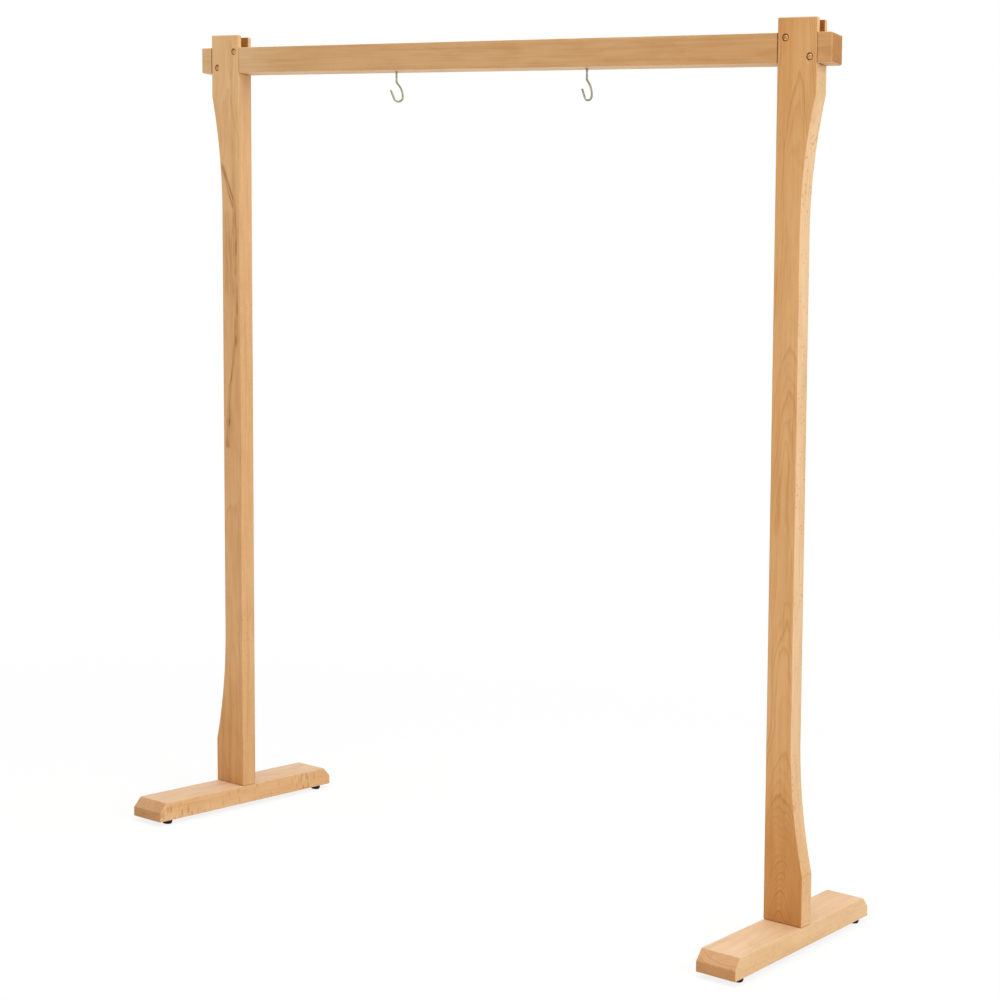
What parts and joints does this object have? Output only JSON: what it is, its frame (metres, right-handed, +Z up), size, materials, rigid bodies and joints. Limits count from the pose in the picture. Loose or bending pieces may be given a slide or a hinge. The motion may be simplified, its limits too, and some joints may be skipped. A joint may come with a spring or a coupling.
{
  "type": "gong stand",
  "caption": "Free-standing beech gong stand: scooped posts on cross feet with rubber pads, a crossbar bolted into the forked post tops, and brass screw hooks under the bar.",
  "frame": {"origin": "on the floor, midway between the posts and between the feet's ends", "axes": "+X along the crossbar towards the right post, +Y along the feet towards the back, +Z up"},
  "size_m": [1.45, 0.55, 1.6476],
  "materials": {
    "beech": "satin oiled beech",
    "brass": "bright brass plating",
    "steel": "zinc plated steel",
    "rubber": "matt black rubber"
  },
  "bodies": {
    "frame": {"crossbar": "beech", "left_foot": "beech", "left_front_inner_pad": "rubber", "left_front_inner_pad_screw": "steel", "left_front_outer_pad": "rubber", "left_front_outer_pad_screw": "steel", "left_inner_foot_bolt": "steel", "left_inner_foot_washer": "steel", "left_inner_post_insert": "brass", "left_lower_bar_bolt": "brass", "left_lower_sleeve_nut": "brass", "left_outer_foot_bolt": "steel", "left_outer_foot_washer": "steel", "left_outer_post_insert": "brass", "left_post": "beech", "left_rear_inner_pad": "rubber", "left_rear_inner_pad_screw": "steel", "left_rear_outer_pad": "rubber", "left_rear_outer_pad_screw": "steel", "left_upper_bar_bolt": "brass", "left_upper_sleeve_nut": "brass", "right_foot": "beech", "right_front_inner_pad": "rubber", "right_front_inner_pad_screw": "steel", "right_front_outer_pad": "rubber", "right_front_outer_pad_screw": "steel", "right_inner_foot_bolt": "steel", "right_inner_foot_washer": "steel", "right_inner_post_insert": "brass", "right_lower_bar_bolt": "brass", "right_lower_sleeve_nut": "brass", "right_outer_foot_bolt": "steel", "right_outer_foot_washer": "steel", "right_outer_post_insert": "brass", "right_post": "beech", "right_rear_inner_pad": "rubber", "right_rear_inner_pad_screw": "steel", "right_rear_outer_pad": "rubber", "right_rear_outer_pad_screw": "steel", "right_upper_bar_bolt": "brass", "right_upper_sleeve_nut": "brass"},
    "left_hook": {"left_hook": "brass"},
    "right_hook": {"right_hook": "brass"}
  },
  "joints": [
    {"name": "left_hook_turn", "type": "hinge", "parent": "frame", "child": "left_hook", "pos_m": [-0.2215, 0, 1.5696], "axis": [0, 0, 1], "range_deg": [-180, 180]},
    {"name": "right_hook_turn", "type": "hinge", "parent": "frame", "child": "right_hook", "pos_m": [0.2215, 0, 1.5696], "axis": [0, 0, 1], "range_deg": [-180, 180]}
  ]
}
